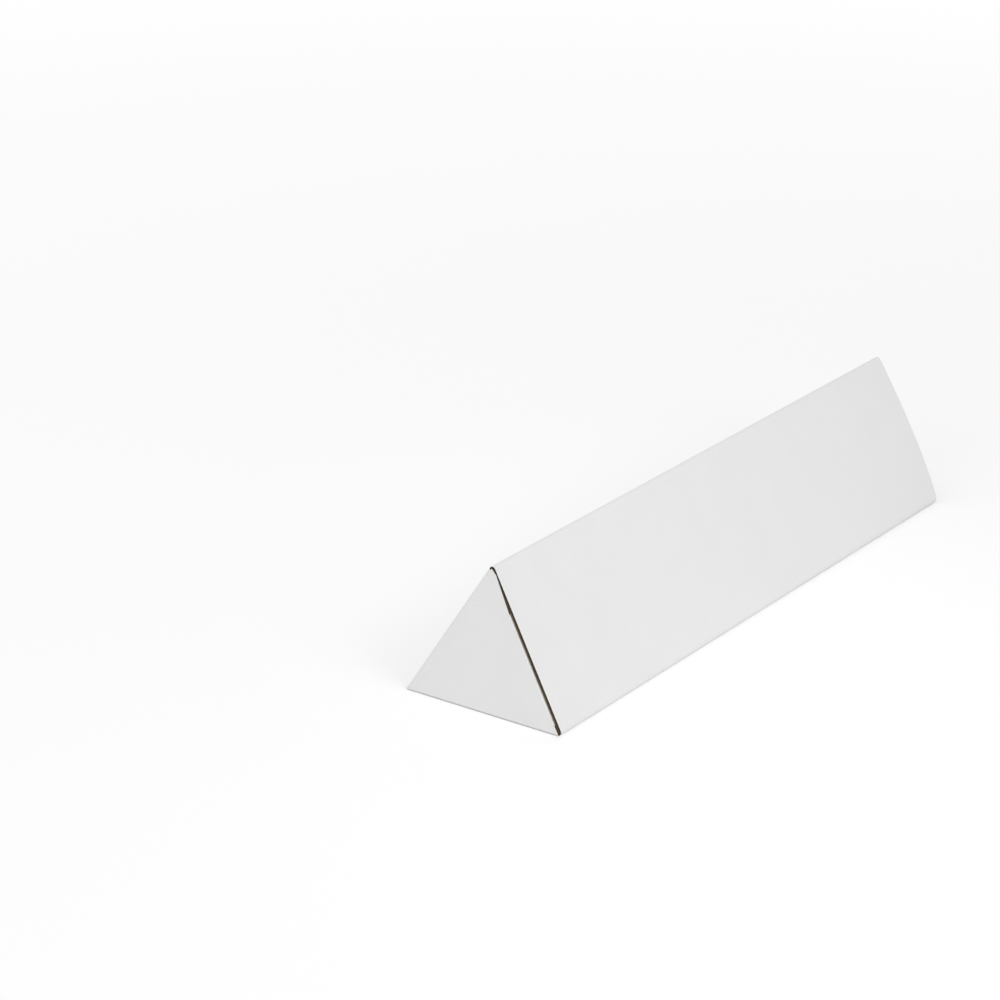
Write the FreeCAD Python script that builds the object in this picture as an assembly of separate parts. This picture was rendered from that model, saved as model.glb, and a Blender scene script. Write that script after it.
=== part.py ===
"""Triangular mailing tube, folded from one die-cut sheet of corrugated board.

Frame: the tube lies on its bottom wall along Y, with its near end towards -Y and +Z up.
The origin is the centre of the bottom wall's outer face. All sizes are in millimetres.

The sheet has three long walls, a glue flap inside the left wall, a dust flap at each end of
the bottom wall and an end flap at each end of the left wall. An end flap folds over the dust
flap and tucks behind the right wall, whose raw ends stay in sight.
"""

import FreeCAD
import Part

import math
import os

# Driving sizes of the tube.
SIDE = 100.0  # one side of the section, between its corners before they are rounded
LENGTH = 445.0  # over both end flaps
BOARD = 1.6  # thickness of the board
FOLD_RADIUS = 2.0  # outer radius of the three long folds

# The flap that is glued inside the left wall.
GLUE_FLAP_WIDTH = 30.0
GLUE_FLAP_SETBACK = 10.0  # from the end of the tube to the end of the flap
GLUE_FLAP_MITRE = 8.0  # how far each end of the flap slants back

# The end flap, hinged on the left wall.
HINGE_RADIUS = 1.3  # outer radius of its fold
HINGE_TOP = 2 * BOARD  # from the ridge's sharp corner down to the top of its fold
MITRE_GAP = 0.2  # half of the gap in the mitred fold
TIP_GAP = 0.5  # between the flap's tip and the ridge
FLOOR_GAP = 0.5  # between the flap's lower edge and the floor
SIDE_GAP = 0.55  # between the flap and the inner face of the right wall
SEAT_GAP = 0.3  # between the flap and the dust flap behind it

# The thin lip that laps over the right wall's raw end, down from the tip.
LIP_THICKNESS = 0.4
LIP_GAP = 0.3  # between the lip and the raw end
LIP_LENGTH = 29.0  # along the flap's slanting edge, from the ridge
LIP_INSET = 0.9  # from the right wall's outer face to the lip's edge, at the tip
LIP_PEAK_INSET = 1.5  # from the outer faces of both walls to the lip's peak, under the ridge

# The tuck tab on the end flap.
TAB_DEPTH = 16.0
TAB_LEAN = 9.0  # degrees, away from the right wall
TAB_FOLD_RADIUS = 1.1
TAB_TOP = 30.0  # from the ridge's sharp corner down to the tab
TAB_FOOT = 6.0  # from the foot's sharp corner up to the tab
TAB_TOP_SLANT = 15.0  # how far the upper end slants in over the tab's depth
TAB_FOOT_SLANT = 6.0  # the same at the lower end
TAB_CORNER_RADIUS = 5.0

# The dust flap, hinged on the bottom wall.
DUST_HEIGHT = 34.0
DUST_LEFT_GAP = 1.5  # between the flap and the left wall
DUST_TAB_GAP = 1.2  # between the flap and the tuck tab
DUST_FOLD_RADIUS = 1.3
DUST_CORNER_RADIUS = 6.0

OVERSHOOT = 2.0  # how far a cutter runs past what it cuts

# What follows from them.
HEIGHT = SIDE * math.sqrt(3) / 2
NEAR_END = -LENGTH / 2
FLAP_SEAT = BOARD + SEAT_GAP  # depth of the dust flap's outer face
RAW_END = LIP_THICKNESS + LIP_GAP  # depth of the right wall's raw end
FLAP_INSET = BOARD + SIDE_GAP  # from the right wall's outer face to the end flap
LEAN = math.radians(TAB_LEAN)
TAB_REACH = FLAP_INSET + TAB_DEPTH * math.sin(LEAN) + BOARD
DUST_RIGHT_INSET = TAB_REACH + DUST_TAB_GAP

# Directions in the section.
ALONG = FreeCAD.Vector(0, 1, 0)
UP_LEFT_WALL = FreeCAD.Vector(0.5, 0, math.sqrt(3) / 2)
UP_RIGHT_WALL = FreeCAD.Vector(-0.5, 0, math.sqrt(3) / 2)
IN_FROM_LEFT = FreeCAD.Vector(math.sqrt(3) / 2, 0, -0.5)
IN_FROM_RIGHT = FreeCAD.Vector(-math.sqrt(3) / 2, 0, -0.5)


def on_left(inset, up, depth=0.0):
    """The point at a distance inside the left wall's outer face, up its slope from the foot's
    level and inwards from the near end."""
    foot = FreeCAD.Vector(-SIDE / 2 + 2 * inset / math.sqrt(3), NEAR_END + depth, 0)
    return foot + UP_LEFT_WALL * up


def on_right(inset, up, depth=0.0):
    """The same on the right wall."""
    foot = FreeCAD.Vector(SIDE / 2 - 2 * inset / math.sqrt(3), NEAR_END + depth, 0)
    return foot + UP_RIGHT_WALL * up


def rounded_wire(corners, radii):
    """A closed wire through the corners, each rounded by its own radius."""
    arcs = []
    for i, (corner, radius) in enumerate(zip(corners, radii)):
        before = (corners[i - 1] - corner).normalize()
        after = (corners[(i + 1) % len(corners)] - corner).normalize()
        half = before.getAngle(after) / 2
        reach = radius / math.tan(half)
        inwards = (before + after).normalize()
        middle = corner + inwards * (radius / math.sin(half) - radius)
        arcs.append((corner + before * reach, middle, corner + after * reach))
    edges = []
    for i, (first, middle, last) in enumerate(arcs):
        if radii[i] > 0:
            edges.append(Part.Arc(first, middle, last).toShape())
        following = arcs[(i + 1) % len(arcs)][0]
        edges.append(Part.LineSegment(last, following).toShape())
    return Part.Wire(edges)


def plate(corners, sweep, radii=None):
    """A flat plate with that outline, swept by a vector."""
    wire = rounded_wire(corners, radii or [0.0] * len(corners))
    return Part.Face(wire).extrude(sweep)


def fold_corner(corner, first, second, sweep, radius):
    """What rounding takes off a sharp edge: corner is a point on the edge, and first and
    second point from it along the two faces."""
    half = first.getAngle(second) / 2
    reach = radius / math.tan(half)
    inwards = (first + second).normalize()
    middle = corner + inwards * (radius / math.sin(half) - radius)
    start = corner + first * reach
    end = corner + second * reach
    outside = corner - inwards * radius
    edges = [
        Part.LineSegment(outside, start - second * radius).toShape(),
        Part.LineSegment(start - second * radius, start).toShape(),
        Part.Arc(start, middle, end).toShape(),
        Part.LineSegment(end, end - first * radius).toShape(),
        Part.LineSegment(end - first * radius, outside).toShape(),
    ]
    return Part.Face(Part.Wire(edges)).extrude(sweep)


def at_both_ends(shape):
    """A near-end shape and its mirror image at the far end."""
    return [shape, shape.mirror(FreeCAD.Vector(0, 0, 0), ALONG)]


def walls():
    """The three long walls with rounded folds, as a closed tube."""
    outside = [on_left(0, 0), on_right(0, 0), on_left(0, SIDE)]
    inner_side = SIDE - 2 * math.sqrt(3) * BOARD
    rise = BOARD / math.cos(math.radians(30))
    inside = [
        on_left(BOARD, rise, -OVERSHOOT),
        on_right(BOARD, rise, -OVERSHOOT),
        on_left(BOARD, rise + inner_side, -OVERSHOOT),
    ]
    tube = plate(outside, ALONG * LENGTH, [0, FOLD_RADIUS, FOLD_RADIUS])
    return tube.cut(plate(inside, ALONG * (LENGTH + 2 * OVERSHOOT)))


def glue_flap():
    """The bottom wall's flap inside the left wall, slanting back at its ends."""
    inner_end = LENGTH - GLUE_FLAP_SETBACK
    outline = [
        on_left(2 * BOARD, 0, GLUE_FLAP_SETBACK),
        on_left(2 * BOARD, 0, inner_end),
        on_left(2 * BOARD, GLUE_FLAP_WIDTH, inner_end - GLUE_FLAP_MITRE),
        on_left(2 * BOARD, GLUE_FLAP_WIDTH, GLUE_FLAP_SETBACK + GLUE_FLAP_MITRE),
    ]
    return plate(outline, IN_FROM_LEFT * -BOARD)


def seam_cuts():
    """The square lower edge of the left wall, and the round of the glue flap's fold."""
    past = on_left(BOARD, 0, -OVERSHOOT)
    sweep = ALONG * (LENGTH + 2 * OVERSHOOT)
    square_edge = [
        past,
        past - IN_FROM_LEFT * (BOARD + OVERSHOOT),
        past - IN_FROM_LEFT * (BOARD + OVERSHOOT) - UP_LEFT_WALL * OVERSHOOT,
        past - FreeCAD.Vector(0, 0, OVERSHOOT),
    ]
    reach = FOLD_RADIUS / math.tan(math.radians(30))
    towards_right = FreeCAD.Vector(1, 0, 0)
    nearest = (UP_LEFT_WALL + towards_right).normalize()
    edges = [
        Part.LineSegment(past, past + towards_right * reach).toShape(),
        Part.Arc(
            past + towards_right * reach,
            past + nearest * FOLD_RADIUS,
            past + UP_LEFT_WALL * reach,
        ).toShape(),
        Part.LineSegment(past + UP_LEFT_WALL * reach, past).toShape(),
    ]
    groove = Part.Face(Part.Wire(edges)).extrude(sweep)
    return [plate(square_edge, sweep), groove]


def end_cuts():
    """What the near end flap's seat and fold take out of the three walls."""
    low, high = -OVERSHOOT, 2 * BOARD + OVERSHOOT
    bottom_wall = plate(
        [
            on_left(BOARD, low, -OVERSHOOT),
            on_right(BOARD, low, -OVERSHOOT),
            on_right(BOARD, high, -OVERSHOOT),
            on_left(BOARD, high, -OVERSHOOT),
        ],
        ALONG * (OVERSHOOT + FLAP_SEAT),
    )
    mitre = plate(
        [
            on_left(-OVERSHOOT, low, MITRE_GAP - OVERSHOOT),
            on_left(BOARD, low, MITRE_GAP + BOARD),
            on_left(BOARD, low, -OVERSHOOT),
            on_left(-OVERSHOOT, low, -2 * OVERSHOOT),
        ],
        UP_LEFT_WALL * (SIDE - HINGE_TOP - low),
    )
    fold = fold_corner(
        on_left(0, low),
        ALONG,
        IN_FROM_LEFT,
        UP_LEFT_WALL * (SIDE - HINGE_TOP - low),
        HINGE_RADIUS,
    )
    right_wall = plate(
        [
            on_right(-OVERSHOOT, low, -OVERSHOOT),
            on_right(BOARD, low, -OVERSHOOT),
            on_right(BOARD, SIDE + OVERSHOOT, -OVERSHOOT),
            on_right(-OVERSHOOT, SIDE + OVERSHOOT, -OVERSHOOT),
        ],
        ALONG * (OVERSHOOT + RAW_END),
    )
    ridge_foot = on_left(0, SIDE - HINGE_TOP, -OVERSHOOT)
    ridge = plate(
        [
            ridge_foot - IN_FROM_LEFT * OVERSHOOT,
            ridge_foot + IN_FROM_LEFT * (2 * BOARD + OVERSHOOT),
            ridge_foot + IN_FROM_LEFT * (2 * BOARD + OVERSHOOT) + UP_LEFT_WALL * SIDE,
            ridge_foot - IN_FROM_LEFT * OVERSHOOT + UP_LEFT_WALL * SIDE,
        ],
        ALONG * (OVERSHOOT + RAW_END),
    )
    return [bottom_wall, mitre, fold, right_wall, ridge]


def dust_flap():
    """The near end's dust flap, folded up from the bottom wall."""
    up = DUST_HEIGHT / (math.sqrt(3) / 2)
    left_inset = BOARD + DUST_LEFT_GAP
    outline = [
        on_left(left_inset, 0, FLAP_SEAT),
        on_right(DUST_RIGHT_INSET, 0, FLAP_SEAT),
        on_right(DUST_RIGHT_INSET, up, FLAP_SEAT),
        on_left(left_inset, up, FLAP_SEAT),
    ]
    round_tops = [0, 0, DUST_CORNER_RADIUS, DUST_CORNER_RADIUS]
    return plate(outline, ALONG * BOARD, round_tops)


def dust_fold():
    """What the fold's round takes off the bottom wall's end."""
    across = FreeCAD.Vector(1, 0, 0)
    start = FreeCAD.Vector(-SIDE / 2, NEAR_END + FLAP_SEAT, 0)
    upwards = FreeCAD.Vector(0, 0, 1)
    return fold_corner(start, ALONG, upwards, across * SIDE, DUST_FOLD_RADIUS)


def sleeve():
    """The part of the sheet that stays put: walls, glue flap and dust flaps."""
    body = walls().fuse(glue_flap())
    for cutter in end_cuts():
        for tool in at_both_ends(cutter):
            body = body.cut(tool)
    for flap in at_both_ends(dust_flap()):
        body = body.fuse(flap)
    for tool in seam_cuts() + at_both_ends(right_of_seam(dust_fold())):
        body = body.cut(tool)
    return body.removeSplitter()


def right_of_seam(tool):
    """The part of a cutter between the left and right walls, which the fold doesn't reach."""
    between = [
        on_left(BOARD, -OVERSHOOT),
        on_right(BOARD, -OVERSHOOT),
        on_right(BOARD, 2 * BOARD + OVERSHOOT),
        on_left(BOARD, 2 * BOARD + OVERSHOOT),
    ]
    return tool.common(plate(between, ALONG * (FLAP_SEAT + 2 * OVERSHOOT)))


def flap_tip(inset):
    """Where the end flap's square tip meets a plane inside the right wall's outer face."""
    from_ridge = HINGE_TOP + TIP_GAP
    across = from_ridge * math.sqrt(3) - 2 * inset
    return on_left(0, SIDE - from_ridge) + IN_FROM_LEFT * across


def flap_plate():
    """The triangular plate of the end flap, with its lip over the right wall's raw end."""
    low = FLOOR_GAP / (math.sqrt(3) / 2)
    triangle = plate(
        [on_left(0, low), on_right(FLAP_INSET, low), flap_tip(FLAP_INSET), flap_tip_start()],
        ALONG * BOARD,
    )
    peak = on_left(0, SIDE) - FreeCAD.Vector(0, 0, 2 * LIP_PEAK_INSET)
    lip = plate(
        [
            flap_tip(FLAP_INSET),
            on_right(FLAP_INSET, SIDE - LIP_LENGTH),
            flap_tip(LIP_INSET),
            peak,
            flap_tip_start() + IN_FROM_LEFT * HINGE_RADIUS,
        ],
        ALONG * LIP_THICKNESS,
    )
    return triangle.fuse(lip)


def flap_tip_start():
    """The top of the end flap's fold, on the left wall's outer face."""
    return on_left(0, SIDE - HINGE_TOP - TIP_GAP)


def flap_mitre():
    """What the mitre and the round take off the end flap's hinged edge."""
    low = -OVERSHOOT
    sweep = UP_LEFT_WALL * (SIDE + OVERSHOOT)
    mitre = plate(
        [
            on_left(-OVERSHOOT, low, -MITRE_GAP - OVERSHOOT),
            on_left(BOARD + OVERSHOOT, low, BOARD + OVERSHOOT - MITRE_GAP),
            on_left(-OVERSHOOT, low, BOARD + OVERSHOOT - MITRE_GAP),
        ],
        sweep,
    )
    fold = fold_corner(on_left(0, low), ALONG, IN_FROM_LEFT, sweep, HINGE_RADIUS)
    return [mitre, fold]


def tuck_tab():
    """The tab behind the right wall, leaning away from it."""
    inwards = ALONG * math.cos(LEAN) + IN_FROM_RIGHT * math.sin(LEAN)
    through = IN_FROM_RIGHT * math.cos(LEAN) - ALONG * math.sin(LEAN)
    top = on_right(FLAP_INSET, SIDE - TAB_TOP)
    foot = on_right(FLAP_INSET, TAB_FOOT)
    outline = [
        top,
        foot,
        foot + UP_RIGHT_WALL * TAB_FOOT_SLANT + inwards * TAB_DEPTH,
        top - UP_RIGHT_WALL * TAB_TOP_SLANT + inwards * TAB_DEPTH,
    ]
    round_tips = [0, 0, TAB_CORNER_RADIUS, TAB_CORNER_RADIUS]
    return plate(outline, through * BOARD, round_tips)


def tab_fold_cuts():
    """What the tab's fold leaves off: the round, and all that is proud of the flap's face."""
    length = SIDE - TAB_TOP - TAB_FOOT
    fold = fold_corner(
        on_right(FLAP_INSET, TAB_FOOT),
        ALONG,
        IN_FROM_RIGHT,
        UP_RIGHT_WALL * length,
        TAB_FOLD_RADIUS,
    )
    proud = plate(
        [
            on_left(0, 0, -OVERSHOOT),
            on_right(0, 0, -OVERSHOOT),
            on_left(0, SIDE, -OVERSHOOT),
        ],
        ALONG * OVERSHOOT,
    )
    return [fold, proud]


def end_flap():
    """The near end flap: triangle, lip and tuck tab."""
    body = flap_plate().fuse(tuck_tab())
    for tool in flap_mitre() + tab_fold_cuts():
        body = body.cut(tool)
    return body.removeSplitter()


def write(name, shape):
    """Checks a sub-part's one solid and writes it."""
    solids = shape.Solids
    assert len(solids) == 1, f"{name} has {len(solids)} solids"
    assert solids[0].isValid(), f"{name} isn't valid"
    solids[0].exportStep(os.path.join("parts", name + ".step"))
    print(f"{name}: {solids[0].Volume / 1000:.2f} cm3")


def main():
    os.makedirs("parts", exist_ok=True)
    near_flap, far_flap = at_both_ends(end_flap())
    write("sleeve", sleeve())
    write("near_end_flap", near_flap)
    write("far_end_flap", far_flap)


main()
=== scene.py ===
"""Triangular mailing tube of white-lined corrugated board, lying on a pale floor."""

import math

import bmesh
import bpy
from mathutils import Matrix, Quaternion, Vector


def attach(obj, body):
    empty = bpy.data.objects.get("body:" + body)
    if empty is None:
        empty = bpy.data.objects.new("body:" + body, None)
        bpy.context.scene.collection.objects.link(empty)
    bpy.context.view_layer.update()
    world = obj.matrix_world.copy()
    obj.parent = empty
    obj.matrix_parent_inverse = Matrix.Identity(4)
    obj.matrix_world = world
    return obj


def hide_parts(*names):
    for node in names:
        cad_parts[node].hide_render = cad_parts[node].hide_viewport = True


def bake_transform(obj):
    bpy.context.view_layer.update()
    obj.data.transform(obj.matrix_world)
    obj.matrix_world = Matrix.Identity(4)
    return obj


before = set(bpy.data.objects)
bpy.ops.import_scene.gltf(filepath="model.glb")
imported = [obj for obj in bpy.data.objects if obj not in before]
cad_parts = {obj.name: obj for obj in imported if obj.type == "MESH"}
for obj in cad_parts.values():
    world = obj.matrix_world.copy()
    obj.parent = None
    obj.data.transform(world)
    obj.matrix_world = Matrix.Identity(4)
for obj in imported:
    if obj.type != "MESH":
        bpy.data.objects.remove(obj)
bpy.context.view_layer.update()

MM = 0.001

# Sizes of the tube, the same as the CAD part's, apart from LIP_INSET.
SIDE = 100 * MM
LENGTH = 445 * MM
BOARD = 1.6 * MM
FOLD_RADIUS = 2.0 * MM
GLUE_FLAP_WIDTH = 30 * MM
GLUE_FLAP_SETBACK = 10 * MM
GLUE_FLAP_MITRE = 8 * MM
HINGE_RADIUS = 1.3 * MM
HINGE_TOP = 2 * BOARD
MITRE_GAP = 0.2 * MM
TIP_GAP = 0.5 * MM
FLOOR_GAP = 0.5 * MM
SIDE_GAP = 0.55 * MM
SEAT_GAP = 0.3 * MM
LIP_THICKNESS = 0.4 * MM
LIP_GAP = 0.3 * MM
LIP_INSET = 0.5 * MM  # the CAD part has 0.9, so the lip covers 0.4 more of the raw edge here
LIP_PEAK_INSET = 1.5 * MM
TAB_DEPTH = 16 * MM
TAB_LEAN = math.radians(9)
TAB_FOLD_RADIUS = 1.1 * MM
TAB_TOP = 30 * MM
TAB_FOOT = 6 * MM
TAB_TOP_SLANT = 15 * MM
TAB_FOOT_SLANT = 6 * MM
TAB_CORNER_RADIUS = 5 * MM
DUST_HEIGHT = 34 * MM
DUST_LEFT_GAP = 1.5 * MM
DUST_TAB_GAP = 1.2 * MM
DUST_FOLD_RADIUS = 1.3 * MM
DUST_CORNER_RADIUS = 6 * MM

NEAR_END = -LENGTH / 2
FLAP_SEAT = BOARD + SEAT_GAP
RAW_END = LIP_THICKNESS + LIP_GAP
FLAP_INSET = BOARD + SIDE_GAP
TAB_REACH = FLAP_INSET + TAB_DEPTH * math.sin(TAB_LEAN) + BOARD
DUST_RIGHT_INSET = TAB_REACH + DUST_TAB_GAP
FLOOR_RISE = FLOOR_GAP / math.sin(math.radians(60))

# The layers of the board.
LINER = 0.2 * MM
FLUTING = 0.16 * MM
FLUTE_PITCH = 3.2 * MM
FLUTE_SWING = (BOARD - 2 * LINER - FLUTING) / 2
FLUTE_STEPS = 10
LINER_STEP = 0.7 * MM
WALL_STEPS = 40  # along the tube, so that the right wall can bow
CORNER_STEPS = 6
CREASE_STEPS = 10
CORE_INSET = 2 * FLUTING  # from a fold's outer liner to the fluting inside it
CREASE_REACH = 4 * MM  # how far a fold's inner liner gives, from the corner

# How far the right wall bows out at the far end, more in its lower half.
BOW = 3.1 * MM
BOW_START = -60 * MM
BOW_SKEW = 0.7

MIDDLE = Vector((0, 0, SIDE / 2 / math.sqrt(3)))
ALONG = Vector((0, 1, 0))
UP = Vector((0, 0, 1))
RIGHT = Vector((1, 0, 0))
UP_LEFT_WALL = Vector((0.5, 0, math.sqrt(3) / 2))
UP_RIGHT_WALL = Vector((-0.5, 0, math.sqrt(3) / 2))
IN_FROM_LEFT = Vector((math.sqrt(3) / 2, 0, -0.5))
IN_FROM_RIGHT = Vector((-math.sqrt(3) / 2, 0, -0.5))

WHITE, KRAFT, FLUTE = 0, 1, 2


def on_left(inset, up, depth=0.0):
    """A point inside the left wall's outer face, up its slope, in from the near end."""
    return Vector((-SIDE / 2 + 2 * inset / math.sqrt(3), NEAR_END + depth, 0)) + UP_LEFT_WALL * up


def on_right(inset, up, depth=0.0):
    """The same on the right wall."""
    return Vector((SIDE / 2 - 2 * inset / math.sqrt(3), NEAR_END + depth, 0)) + UP_RIGHT_WALL * up


# The sheet's section: the left wall from its free edge, the ridge, the right wall, the lower
# right fold, the bottom wall, and the fold and the flap of the glued seam.
FREE_EDGE = BOARD / math.sqrt(3)
FOLD_REACH = FOLD_RADIUS * math.sqrt(3)
FOLD_ARC = FOLD_RADIUS * math.radians(120)
SEAM_INSET = 2 * BOARD / math.sqrt(3)
SECTION = (
    ("left wall", SIDE - FREE_EDGE - FOLD_REACH, False),
    ("ridge", FOLD_ARC, True),
    ("right wall", SIDE - 2 * FOLD_REACH, False),
    ("right fold", FOLD_ARC, True),
    ("bottom wall", SIDE - 2 * FOLD_REACH - SEAM_INSET, False),
    ("seam fold", FOLD_ARC, True),
    ("glue flap", GLUE_FLAP_WIDTH - FOLD_REACH, False),
)


def section_starts():
    """Where each part of the section starts, along the sheet."""
    starts = {}
    reached = 0.0
    for name, length, turning in SECTION:
        starts[name] = reached
        reached += length
    starts["end"] = reached
    return starts


STARTS = section_starts()


def on_sheet(distance, depth):
    """The point a distance along the section and a depth into the board."""
    place = on_left(0, FREE_EDGE)
    heading = math.radians(60)
    for name, length, turning in SECTION:
        step = min(max(distance, 0.0), length) if name != "glue flap" else distance
        inward = Vector((math.sin(heading), 0, -math.cos(heading)))
        if turning:
            turn = step / FOLD_RADIUS
            centre = place + inward * FOLD_RADIUS
            heading -= turn
            inward = Vector((math.sin(heading), 0, -math.cos(heading)))
            place = centre - inward * FOLD_RADIUS
        else:
            place = place + Vector((math.cos(heading), 0, math.sin(heading))) * step
        distance -= length
        if distance <= 0:
            break
    point = place + inward * depth
    return Vector((point.x, 0, point.z))


def chain(bm, points):
    """A chain of edges through the points."""
    verts = [bm.verts.new(p) for p in points]
    return [bm.edges.new(pair) for pair in zip(verts, verts[1:])]


def draw_out(bm, edges, move, steps=1):
    """Draws edges out into a sheet, in equal steps."""
    for _ in range(steps):
        drawn = bmesh.ops.extrude_edge_only(bm, edges=edges)["geom"]
        verts = [part for part in drawn if isinstance(part, bmesh.types.BMVert)]
        bmesh.ops.translate(bm, verts=verts, vec=move / steps)
        fresh = set(verts)
        drawn_edges = [part for part in drawn if isinstance(part, bmesh.types.BMEdge)]
        edges = [edge for edge in drawn_edges if fresh.issuperset(edge.verts)]


def trim(bm, point, outward):
    """Cuts off what lies beyond a plane."""
    parts = bm.verts[:] + bm.edges[:] + bm.faces[:]
    bmesh.ops.bisect_plane(bm, geom=parts, plane_co=point, plane_no=outward, clear_outer=True)


def face_out(bm):
    """Turns a sheet's faces away from the middle of the tube."""
    bmesh.ops.recalc_face_normals(bm, faces=bm.faces[:])
    bm.normal_update()
    face = bm.faces[0]
    if face.normal.dot(face.calc_center_median() - MIDDLE) < 0:
        bmesh.ops.reverse_faces(bm, faces=bm.faces[:])
        bm.normal_update()


def thicken(bm, thickness):
    """Gives a sheet its thickness, half to each side. Gives back its outer faces."""
    outer = bm.faces[:]
    for vert in bm.verts:
        vert.co += vert.normal * thickness / 2
    bmesh.ops.solidify(bm, geom=outer, thickness=thickness)
    bmesh.ops.recalc_face_normals(bm, faces=bm.faces[:])
    return outer


def sheet(build, thickness, paper):
    """One layer of paper: build makes its middle surface. Only the outside of the white liner
    is bleached."""
    bm = bmesh.new()
    build(bm)
    face_out(bm)
    outer = thicken(bm, thickness)
    for face in bm.faces:
        face.material_index = KRAFT if paper == WHITE else paper
    for face in outer:
        face.material_index = paper
    mesh = bpy.data.meshes.new("layer")
    bm.to_mesh(mesh)
    bm.free()
    return mesh


def wall_points(start, end, middle, waving):
    """Points across the section between two distances, in the middle of a layer."""
    if waving:
        steps = max(2, round((end - start) / FLUTE_PITCH * FLUTE_STEPS))
    else:
        steps = max(2, round((end - start) / LINER_STEP))
    points = []
    for i in range(steps + 1):
        distance = start + (end - start) * i / steps
        swing = FLUTE_SWING * math.sin(2 * math.pi * distance / FLUTE_PITCH) if waving else 0
        points.append(on_sheet(distance, middle + swing))
    return points


LAYERS = (
    (LINER / 2, False, LINER, WHITE),
    (BOARD / 2, True, FLUTING, FLUTE),
    (BOARD - LINER / 2, False, LINER, KRAFT),
)


def wall(start, end, near, far, steps=1, cuts=()):
    """A stretch of the section, drawn out along the tube, as its three layers. Near and far are
    its ends, from the tube's near end. A tuple gives each paper's own distance from both ends."""
    layers = []
    for middle, waving, thickness, paper in LAYERS:
        first, last = near, far
        if isinstance(near, tuple):
            first = near[paper]
            last = LENGTH - near[paper]

        def build(bm):
            across = wall_points(start, end, middle, waving)
            points = [p + ALONG * (NEAR_END + first) for p in across]
            draw_out(bm, chain(bm, points), ALONG * (last - first), steps)
            for point, outward in cuts:
                trim(bm, point, outward)

        layers.append(sheet(build, thickness, paper))
    return layers


def rounded(corners, radii):
    """An outline with rounded corners, as points."""
    points = []
    for i, (corner, radius) in enumerate(zip(corners, radii)):
        if radius == 0:
            points.append(corner)
            continue
        before = (corners[i - 1] - corner).normalized()
        after = (corners[(i + 1) % len(corners)] - corner).normalized()
        points += fold_arc(corner, before, after, radius)
    return points


def fold_arc(corner, first, second, radius, steps=CORNER_STEPS):
    """Points round a fold, from its first face to its second."""
    half = first.angle(second) / 2
    centre = corner + (first + second).normalized() * radius / math.sin(half)
    start = corner + first * radius / math.tan(half) - centre
    axis = first.cross(second).normalized()
    turn = -(math.pi - 2 * half)
    return [centre + Quaternion(axis, turn * i / steps) @ start for i in range(steps + 1)]


def flat_liner(outline, inward, depth, paper):
    """A flat liner with that outline."""
    bm = bmesh.new()
    face = bm.faces.new([bm.verts.new(p + inward * depth) for p in outline])
    drawn = bmesh.ops.extrude_face_region(bm, geom=[face], use_keep_orig=True)["geom"]
    verts = [part for part in drawn if isinstance(part, bmesh.types.BMVert)]
    bmesh.ops.translate(bm, verts=verts, vec=inward * LINER)
    bmesh.ops.recalc_face_normals(bm, faces=bm.faces[:])
    for side in bm.faces:
        bleached = paper == WHITE and side.normal.dot(inward) < -0.5
        side.material_index = WHITE if bleached else KRAFT
    mesh = bpy.data.meshes.new("layer")
    bm.to_mesh(mesh)
    bm.free()
    return mesh


def flat_flutes(outline, across, run, inward):
    """The fluting of a flat piece: its flutes follow one another across and run along run."""
    reach_across = [p.dot(across) for p in outline]
    reach_run = [p.dot(run) for p in outline]
    level = outline[0].dot(inward) + BOARD / 2
    count = round((max(reach_across) - min(reach_across)) / FLUTE_PITCH * FLUTE_STEPS) + 2
    centre = sum(outline, Vector()) / len(outline)

    def build(bm):
        points = []
        for i in range(count):
            place = min(reach_across) + FLUTE_PITCH * i / FLUTE_STEPS
            swing = FLUTE_SWING * math.sin(2 * math.pi * place / FLUTE_PITCH)
            points.append(across * place + run * min(reach_run) + inward * (level + swing))
        draw_out(bm, chain(bm, points), run * (max(reach_run) - min(reach_run)))
        for i, corner in enumerate(outline):
            side = outline[(i + 1) % len(outline)] - corner
            outward = side.cross(inward).normalized()
            if outward.dot(corner - centre) < 0:
                outward = -outward
            trim(bm, corner, outward)

    return sheet(build, FLUTING, FLUTE)


def flat_board(outline, across, run, inward):
    """A flat piece of the board."""
    return [
        flat_liner(outline, inward, 0, WHITE),
        flat_flutes(outline, across, run, inward),
        flat_liner(outline, inward, BOARD - LINER, KRAFT),
    ]


def bent_strip(points, move, paper, steps=1, cut=None):
    """A narrow strip of liner over a fold."""
    def build(bm):
        draw_out(bm, chain(bm, points), move, steps)
        if cut:
            trim(bm, *cut)

    return sheet(build, LINER, paper)


def mirrored(meshes):
    """The same layers at the far end."""
    copies = []
    for mesh in meshes:
        bm = bmesh.new()
        bm.from_mesh(mesh)
        bmesh.ops.scale(bm, verts=bm.verts[:], vec=(1, -1, 1))
        bmesh.ops.reverse_faces(bm, faces=bm.faces[:])
        copy = bpy.data.meshes.new("layer")
        bm.to_mesh(copy)
        bm.free()
        copies.append(copy)
    return copies


def piece(name, meshes, papers):
    """Joins layers into one piece."""
    bm = bmesh.new()
    for mesh in meshes:
        bm.from_mesh(mesh)
        bpy.data.meshes.remove(mesh)
    mesh = bpy.data.meshes.new(name)
    bm.to_mesh(mesh)
    bm.free()
    for paper in papers:
        mesh.materials.append(paper)
    obj = bpy.data.objects.new(name, mesh)
    bpy.context.scene.collection.objects.link(obj)
    return obj


# The walls.


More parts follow.
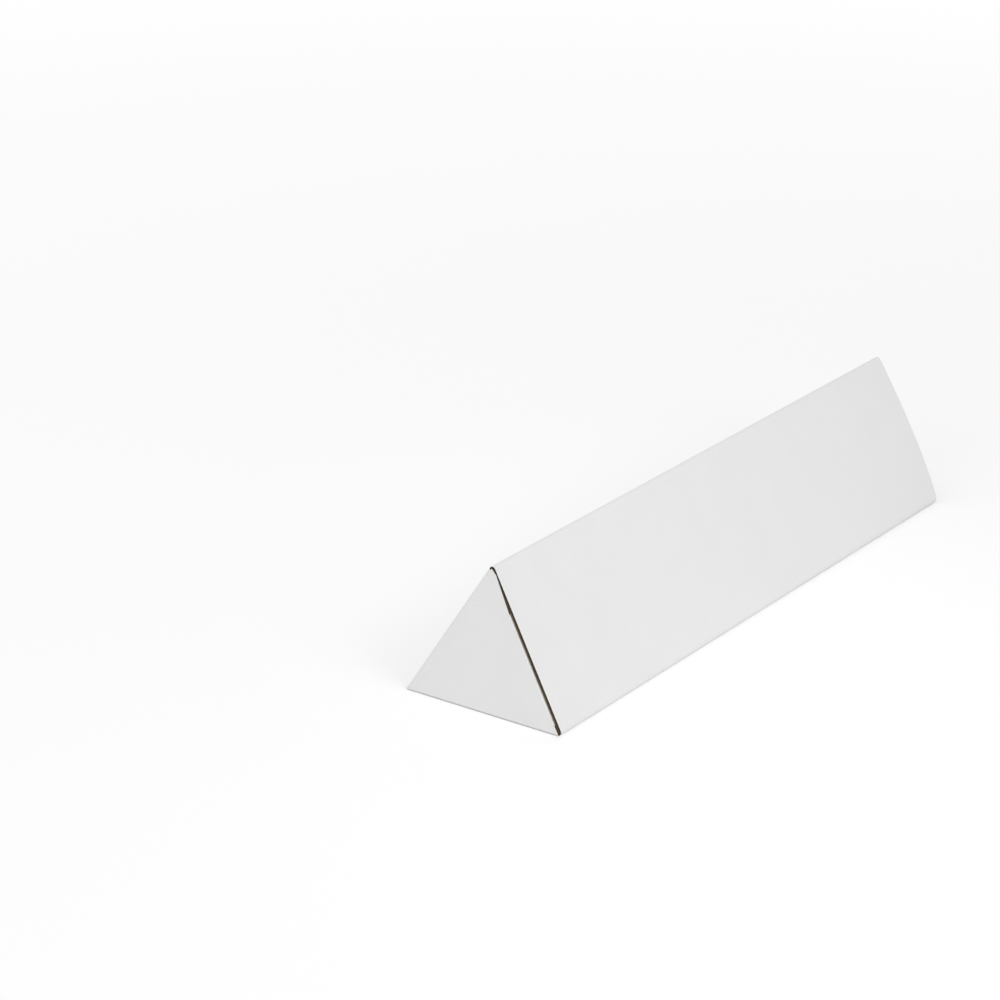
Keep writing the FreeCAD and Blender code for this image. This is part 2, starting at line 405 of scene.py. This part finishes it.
def left_wall():
    """The left wall, mitred at its ends towards the end flaps."""
    end = STARTS["left wall"] + SIDE - HINGE_TOP - FREE_EDGE
    near = (HINGE_RADIUS, CREASE_REACH, HINGE_RADIUS)
    mitre = (IN_FROM_LEFT - ALONG).normalized()
    gap = on_left(0, 0, MITRE_GAP)
    far_gap = Vector((gap.x, -gap.y, gap.z))
    cuts = [(gap, mitre), (far_gap, (IN_FROM_LEFT + ALONG).normalized())]
    return wall(0, end, near, None, 1, cuts)


def right_wall():
    """The ridge, the right wall and its lower fold, with raw ends."""
    start = SIDE - HINGE_TOP - FREE_EDGE
    end = STARTS["bottom wall"]
    return wall(start, end, RAW_END, LENGTH - RAW_END, WALL_STEPS)


def bow_out(mesh):
    """Bows the right wall out towards the far end."""
    for vert in mesh.vertices:
        up = (vert.co - on_right(0, 0)).dot(UP_RIGHT_WALL)
        inset = (vert.co - on_right(0, 0)).dot(IN_FROM_RIGHT)
        if inset > 2 * BOARD or not 0 < up < SIDE:
            continue
        reach = (vert.co.y - BOW_START) / (LENGTH / 2 - BOW_START)
        if reach > 0:
            height = (up / SIDE) ** BOW_SKEW
            swell = 4 * height * (1 - height) * min(1, vert.co.z / FOLD_REACH)
            vert.co -= IN_FROM_RIGHT * BOW * swell * reach ** 2


def bottom_wall():
    """The bottom wall, up to the folds of the dust flaps."""
    start = STARTS["bottom wall"]
    end = STARTS["seam fold"]
    fold = FLAP_SEAT + BOARD
    layers = wall(start, end, fold, LENGTH - fold)
    flap_right = on_right(DUST_RIGHT_INSET, 0).x
    side = start + (on_sheet(start, 0).x - flap_right)
    layers += wall(start, side, FLAP_SEAT, fold)
    layers += mirrored(wall(start, side, FLAP_SEAT, fold))
    return layers


def glue_flap():
    """The seam's fold and the flap inside the left wall, slanting back at its ends."""
    start = STARTS["seam fold"]
    end = STARTS["end"]
    low = on_left(2 * BOARD, 0, GLUE_FLAP_SETBACK)
    high = on_left(2 * BOARD, GLUE_FLAP_WIDTH, GLUE_FLAP_SETBACK + GLUE_FLAP_MITRE)
    outward = (high - low).cross(IN_FROM_LEFT).normalized()
    if outward.y > 0:
        outward = -outward
    far_low = Vector((low.x, -low.y, low.z))
    far_outward = Vector((outward.x, -outward.y, outward.z))
    cuts = [(low, outward), (far_low, far_outward)]
    return wall(start, end, FLAP_SEAT, LENGTH - FLAP_SEAT, 1, cuts)


def dust_flap():
    """The near end's dust flap, with its fold."""
    left = on_left(BOARD + DUST_LEFT_GAP, 0).x
    right = on_right(DUST_RIGHT_INSET, 0).x
    foot = NEAR_END + FLAP_SEAT
    rise = BOARD / math.sin(math.radians(60))
    top = DUST_HEIGHT / math.sin(math.radians(60))
    inset = BOARD + DUST_LEFT_GAP
    corners = [
        on_left(inset, rise, FLAP_SEAT),
        on_right(DUST_RIGHT_INSET, rise, FLAP_SEAT),
        on_right(DUST_RIGHT_INSET, top, FLAP_SEAT),
        on_left(inset, top, FLAP_SEAT),
    ]
    outline = rounded(corners, [0, 0, DUST_CORNER_RADIUS, DUST_CORNER_RADIUS])
    layers = flat_board(outline, RIGHT, UP, ALONG)
    half = LINER / 2
    corner = Vector((left, foot + half, half))
    arc = fold_arc(corner, ALONG, UP, DUST_FOLD_RADIUS - half)
    points = [Vector((left, foot + BOARD, half))] + arc + [Vector((left, foot + half, BOARD))]
    layers.append(bent_strip(points, RIGHT * (right - left), WHITE))
    inner = [p + (UP + ALONG) * CORE_INSET for p in arc]
    layers.append(bent_strip(inner, RIGHT * (right - left), FLUTE))
    return layers


def sleeve_board(papers):
    """The part of the sheet that stays put."""
    right = right_wall()
    for mesh in right:
        bow_out(mesh)
    dust = dust_flap()
    layers = left_wall() + right + bottom_wall() + glue_flap() + mirrored(dust) + dust
    obj = piece("sleeve_board", layers, papers)
    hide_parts("sleeve")
    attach(obj, "sleeve")
    return obj


# The end flaps.


def flap_tip(inset):
    """Where the flap's square tip meets a line inside the right wall."""
    from_ridge = HINGE_TOP + TIP_GAP
    return on_left(0, SIDE - from_ridge) + IN_FROM_LEFT * (from_ridge * math.sqrt(3) - 2 * inset)


def insets_meet(left_inset, right_inset):
    """Where a line inside the left wall meets one inside the right wall, at the end."""
    from_ridge = (left_inset + 2 * right_inset) / math.sqrt(3)
    return on_left(0, SIDE - from_ridge) + IN_FROM_LEFT * left_inset


def flap_outline(left_inset, right_edge):
    """The flap's outline, from its left inset, with the points of its right edge."""
    low = on_left(0, FLOOR_RISE)
    foot = low + RIGHT * left_inset / math.cos(math.radians(30))
    top = on_left(0, SIDE - HINGE_TOP - TIP_GAP) + IN_FROM_LEFT * left_inset
    return [foot] + right_edge + [top]


def tab_fold_reach():
    """From the tab's fold corner to where the fold's round starts."""
    return TAB_FOLD_RADIUS / math.tan((math.pi / 2 - TAB_LEAN) / 2)


def end_flap():
    """The near end flap: its triangle, its lip, and its tuck tab with the fold."""
    reach = tab_fold_reach()
    tab_foot = on_right(FLAP_INSET, TAB_FOOT)
    tab_head = on_right(FLAP_INSET, SIDE - TAB_TOP)
    foot = on_right(FLAP_INSET, FLOOR_RISE)
    lip = [flap_tip(LIP_INSET), on_left(0, SIDE) - UP * 2 * LIP_PEAK_INSET]
    notch = [tab_foot, tab_foot + IN_FROM_RIGHT * reach, tab_head + IN_FROM_RIGHT * reach, tab_head]
    outer = flap_outline(HINGE_RADIUS, [foot] + notch + lip)
    set_back = FLAP_INSET + reach
    far_foot = on_right(set_back, FLOOR_RISE)
    far_tip = insets_meet(HINGE_RADIUS + MITRE_GAP, set_back)
    middle_foot, middle_top = flap_outline(HINGE_RADIUS + MITRE_GAP, [])
    middle = [middle_foot, far_foot, far_tip]
    inner = flap_outline(CREASE_REACH, [foot, flap_tip(FLAP_INSET)])
    below_tab = [foot, tab_foot, tab_foot + IN_FROM_RIGHT * reach, far_foot]
    above_tab = [tab_head, flap_tip(FLAP_INSET), middle_top, far_tip]
    above_tab.append(tab_head + IN_FROM_RIGHT * reach)
    layers = [
        flat_liner(outer, ALONG, 0, WHITE),
        flat_liner([tab_head] + lip + [outer[-1], flap_tip(FLAP_INSET)], ALONG, LINER, KRAFT),
        flat_flutes(middle, UP_LEFT_WALL, IN_FROM_LEFT, ALONG),
        flat_flutes(below_tab, UP_LEFT_WALL, IN_FROM_LEFT, ALONG),
        flat_flutes(above_tab, UP_LEFT_WALL, IN_FROM_LEFT, ALONG),
        flat_liner(inner, ALONG, BOARD - LINER, KRAFT),
    ]
    return layers + tuck_tab(tab_foot, tab_head)


def tuck_tab(foot, head):
    """The tab behind the right wall, leaning away from it."""
    inwards = ALONG * math.cos(TAB_LEAN) + IN_FROM_RIGHT * math.sin(TAB_LEAN)
    through = IN_FROM_RIGHT * math.cos(TAB_LEAN) - ALONG * math.sin(TAB_LEAN)
    reach = tab_fold_reach()
    corners = [
        foot + inwards * reach,
        head + inwards * reach,
        head - UP_RIGHT_WALL * TAB_TOP_SLANT + inwards * TAB_DEPTH,
        foot + UP_RIGHT_WALL * TAB_FOOT_SLANT + inwards * TAB_DEPTH,
    ]
    outline = rounded(corners, [0, 0, TAB_CORNER_RADIUS, TAB_CORNER_RADIUS])
    run = inwards * 0.5 - UP_RIGHT_WALL * math.sqrt(3) / 2
    across = inwards * math.sqrt(3) / 2 + UP_RIGHT_WALL * 0.5
    layers = flat_board(outline, across, run, through)
    half = LINER / 2
    corner = foot + ALONG * half + through * half
    arc = fold_arc(corner, IN_FROM_RIGHT, inwards, TAB_FOLD_RADIUS - half)
    layers.append(bent_strip(arc, head - foot, WHITE))
    core = [p + (IN_FROM_RIGHT + inwards) * CORE_INSET for p in arc]
    layers.append(bent_strip(core, head - foot, FLUTE))
    return layers


def crease():
    """The fold between the near end flap and the left wall: both liners bend round it."""
    move = UP_LEFT_WALL * (SIDE - HINGE_TOP - TIP_GAP - FLOOR_RISE)
    low = on_left(0, FLOOR_RISE)
    level = (low, -UP)
    half = LINER / 2
    corner = low + (ALONG + IN_FROM_LEFT) * half
    outer = fold_arc(corner, ALONG, IN_FROM_LEFT, HINGE_RADIUS - half, CREASE_STEPS)
    inside = low + (ALONG + IN_FROM_LEFT) * (BOARD - half)
    reach = CREASE_REACH - BOARD + half
    inner = [inside + ALONG * reach * (1 - i / 6) for i in range(6)]
    inner += [inside + IN_FROM_LEFT * reach * i / 6 for i in range(7)]
    return [bent_strip(outer, move, WHITE, 4, level), bent_strip(inner, move, KRAFT, 4, level)]


def end_pieces(papers):
    """Both end flaps and their creases."""
    flap = end_flap()
    bend = crease()
    for side, layers, bends in (("far", mirrored(flap), mirrored(bend)), ("near", flap, bend)):
        obj = piece(side + "_flap_board", layers, papers)
        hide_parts(side + "_end_flap")
        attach(obj, side + "_flap")
        fold = piece(side + "_flap_crease", bends, papers)
        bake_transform(fold)


# The papers.


def paper_nodes(name):
    """A new material's node tree, with its shader and the place on the object."""
    material = bpy.data.materials.new(name)
    material.use_nodes = True
    tree = material.node_tree
    shader = tree.nodes["Principled BSDF"]
    place = tree.nodes.new("ShaderNodeTexCoord").outputs["Object"]
    return material, tree, shader, place


def grain(tree, place, scale, stretch=(1, 1, 1), detail=3.0):
    """Fractal noise at a scale, per metre, stretched along the axes."""
    mapping = tree.nodes.new("ShaderNodeMapping")
    mapping.inputs["Scale"].default_value = stretch
    noise = tree.nodes.new("ShaderNodeTexNoise")
    noise.inputs["Scale"].default_value = scale
    noise.inputs["Detail"].default_value = detail
    tree.links.new(place, mapping.inputs["Vector"])
    tree.links.new(mapping.outputs["Vector"], noise.inputs["Vector"])
    return noise.outputs["Fac"]


def shades(tree, value, stops):
    """Colours along a value, as (position, colour) stops."""
    ramp = tree.nodes.new("ShaderNodeValToRGB")
    elements = ramp.color_ramp.elements
    while len(elements) < len(stops):
        elements.new(0.5)
    for element, (position, colour) in zip(elements, stops):
        element.position = position
        element.color = (*colour, 1)
    tree.links.new(value, ramp.inputs["Fac"])
    return ramp.outputs["Color"]


def multiplied(tree, first, second):
    """Two colours, one darkening the other."""
    mix = tree.nodes.new("ShaderNodeMix")
    mix.data_type = "RGBA"
    mix.blend_type = "MULTIPLY"
    mix.inputs["Factor"].default_value = 1.0
    tree.links.new(first, mix.inputs[6])
    tree.links.new(second, mix.inputs[7])
    return mix.outputs[2]


def roughen(tree, shader, height, strength, distance):
    """Bumps a surface."""
    bump = tree.nodes.new("ShaderNodeBump")
    bump.inputs["Strength"].default_value = strength
    bump.inputs["Distance"].default_value = distance
    tree.links.new(height, bump.inputs["Height"])
    tree.links.new(bump.outputs["Normal"], shader.inputs["Normal"])


def white_liner():
    """Bleached liner: matte, faintly clouded, with a fine tooth."""
    material, tree, shader, place = paper_nodes("white_liner")
    clouds = shades(
        tree,
        grain(tree, place, 30, detail=2.0),
        ((0.35, (0.857, 0.857, 0.856)), (0.65, (0.868, 0.868, 0.867))),
    )
    specks = shades(
        tree,
        grain(tree, place, 1500, detail=4.0),
        ((0.3, (0.97, 0.97, 0.967)), (0.5, (1, 1, 1))),
    )
    tree.links.new(multiplied(tree, clouds, specks), shader.inputs["Base Color"])
    shader.inputs["Roughness"].default_value = 0.72
    shader.inputs["Specular IOR Level"].default_value = 0.3
    roughen(tree, shader, grain(tree, place, 900, detail=4.0), 0.12, 0.0003)
    return material


def kraft_paper(name, dark, light):
    """Unbleached paper: brown, fibrous, with darker and lighter flecks."""
    material, tree, shader, place = paper_nodes(name)
    clouds = shades(tree, grain(tree, place, 60, detail=4.0), ((0.3, dark), (0.7, light)))
    fibres = shades(
        tree,
        grain(tree, place, 900, stretch=(1, 0.2, 1), detail=5.0),
        ((0.35, (0.72, 0.70, 0.67)), (0.6, (1, 1, 1))),
    )
    tree.links.new(multiplied(tree, clouds, fibres), shader.inputs["Base Color"])
    shader.inputs["Roughness"].default_value = 0.85
    shader.inputs["Specular IOR Level"].default_value = 0.2
    roughen(tree, shader, grain(tree, place, 1200, detail=4.0), 0.25, 0.0003)
    return material


# The studio.


# What the camera sees beyond the light that falls on the floor, by the tube and far from it.
GLOW_NEAR = 0.21
GLOW_FAR = 0.36
FADE_START = 0.3
FADE_END = 1.8
FLOOR_DROP = 0.05 * MM  # keeps the floor clear of the bottom wall
FLOOR_HALF_SIDE = 8
ROOM_LIGHT = 0.738


def floor():
    """A wide pale floor that fades to the white background."""
    bm = bmesh.new()
    bmesh.ops.create_grid(bm, x_segments=1, y_segments=1, size=FLOOR_HALF_SIDE)
    bmesh.ops.translate(bm, verts=bm.verts[:], vec=-UP * FLOOR_DROP)
    mesh = bpy.data.meshes.new("floor")
    bm.to_mesh(mesh)
    bm.free()
    material, tree, shader, place = paper_nodes("floor_paint")
    shader.inputs["Base Color"].default_value = (0.9, 0.9, 0.9, 1)
    shader.inputs["Roughness"].default_value = 0.9
    shader.inputs["Specular IOR Level"].default_value = 0.0
    distance = tree.nodes.new("ShaderNodeVectorMath")
    distance.operation = "LENGTH"
    fading = tree.nodes.new("ShaderNodeMapRange")
    fading.inputs["From Min"].default_value = FADE_START
    fading.inputs["From Max"].default_value = FADE_END
    fading.inputs["To Min"].default_value = GLOW_NEAR
    fading.inputs["To Max"].default_value = GLOW_FAR
    path = tree.nodes.new("ShaderNodeLightPath")
    glow = tree.nodes.new("ShaderNodeMath")
    glow.operation = "MULTIPLY"
    shader.inputs["Emission Color"].default_value = (1, 1, 1, 1)
    tree.links.new(place, distance.inputs[0])
    tree.links.new(distance.outputs["Value"], fading.inputs["Value"])
    tree.links.new(path.outputs["Is Camera Ray"], glow.inputs[0])
    tree.links.new(fading.outputs["Result"], glow.inputs[1])
    tree.links.new(glow.outputs["Value"], shader.inputs["Emission Strength"])
    mesh.materials.append(material)
    obj = bpy.data.objects.new("floor", mesh)
    bpy.context.scene.collection.objects.link(obj)


def softbox(name, place, target, size, power, spread):
    """A square soft light, aimed at a point, with its beam's spread in degrees."""
    light = bpy.data.lights.new(name, "AREA")
    light.shape = "SQUARE"
    light.size = size
    light.energy = power
    light.spread = math.radians(spread)
    obj = bpy.data.objects.new(name, light)
    obj.location = place
    obj.rotation_euler = (Vector(target) - Vector(place)).to_track_quat("-Z", "Y").to_euler()
    bpy.context.scene.collection.objects.link(obj)


def white_room():
    """Even white light from all round."""
    world = bpy.data.worlds.new("white_room")
    world.use_nodes = True
    tree = world.node_tree
    background = tree.nodes["Background"]
    background.inputs["Color"].default_value = (1, 1, 1, 1)
    path = tree.nodes.new("ShaderNodeLightPath")
    seen = tree.nodes.new("ShaderNodeMath")
    seen.operation = "MAXIMUM"
    strength = tree.nodes.new("ShaderNodeMapRange")
    strength.inputs["To Min"].default_value = ROOM_LIGHT
    strength.inputs["To Max"].default_value = 1.0
    tree.links.new(path.outputs["Is Camera Ray"], seen.inputs[0])
    tree.links.new(path.outputs["Is Glossy Ray"], seen.inputs[1])
    tree.links.new(seen.outputs[0], strength.inputs["Value"])
    tree.links.new(strength.outputs["Result"], background.inputs["Strength"])
    bpy.context.scene.world = world


CAMERA_PLACE = (1.0110, -1.8944, 0.8807)
CAMERA_TURN = (68.7645, -3.1753, 32.3298)  # degrees
CAMERA_LENS = 143.78


def camera():
    """The long lens of the photograph."""
    lens = bpy.data.cameras.new("camera")
    lens.sensor_width = 36
    lens.lens = CAMERA_LENS
    lens.clip_start = 0.1
    lens.clip_end = 50
    obj = bpy.data.objects.new("camera", lens)
    obj.location = CAMERA_PLACE
    obj.rotation_euler = [math.radians(angle) for angle in CAMERA_TURN]
    bpy.context.scene.collection.objects.link(obj)
    bpy.context.scene.camera = obj


bpy.context.scene.view_settings.view_transform = "Standard"
papers = [
    white_liner(),
    kraft_paper("kraft_liner", (0.20, 0.155, 0.095), (0.27, 0.21, 0.135)),
    # The fluting's own kraft brown, darkened further with painted shade for the shadowed flute
    # hollows and the gap beside the raw edges
    kraft_paper("fluting_paper_painted_shade", (0.125, 0.10, 0.065), (0.17, 0.135, 0.09)),
]
sleeve_board(papers)
end_pieces(papers)
floor()
white_room()
softbox("side", (0.95, -0.38, 0.80), (0.025, -0.05, 0.04), 0.6, 0.4, 60)
softbox("front", (0.15, -1.9, 0.7), (0, -0.2225, 0.03), 1.2, 3.6, 180)
camera()
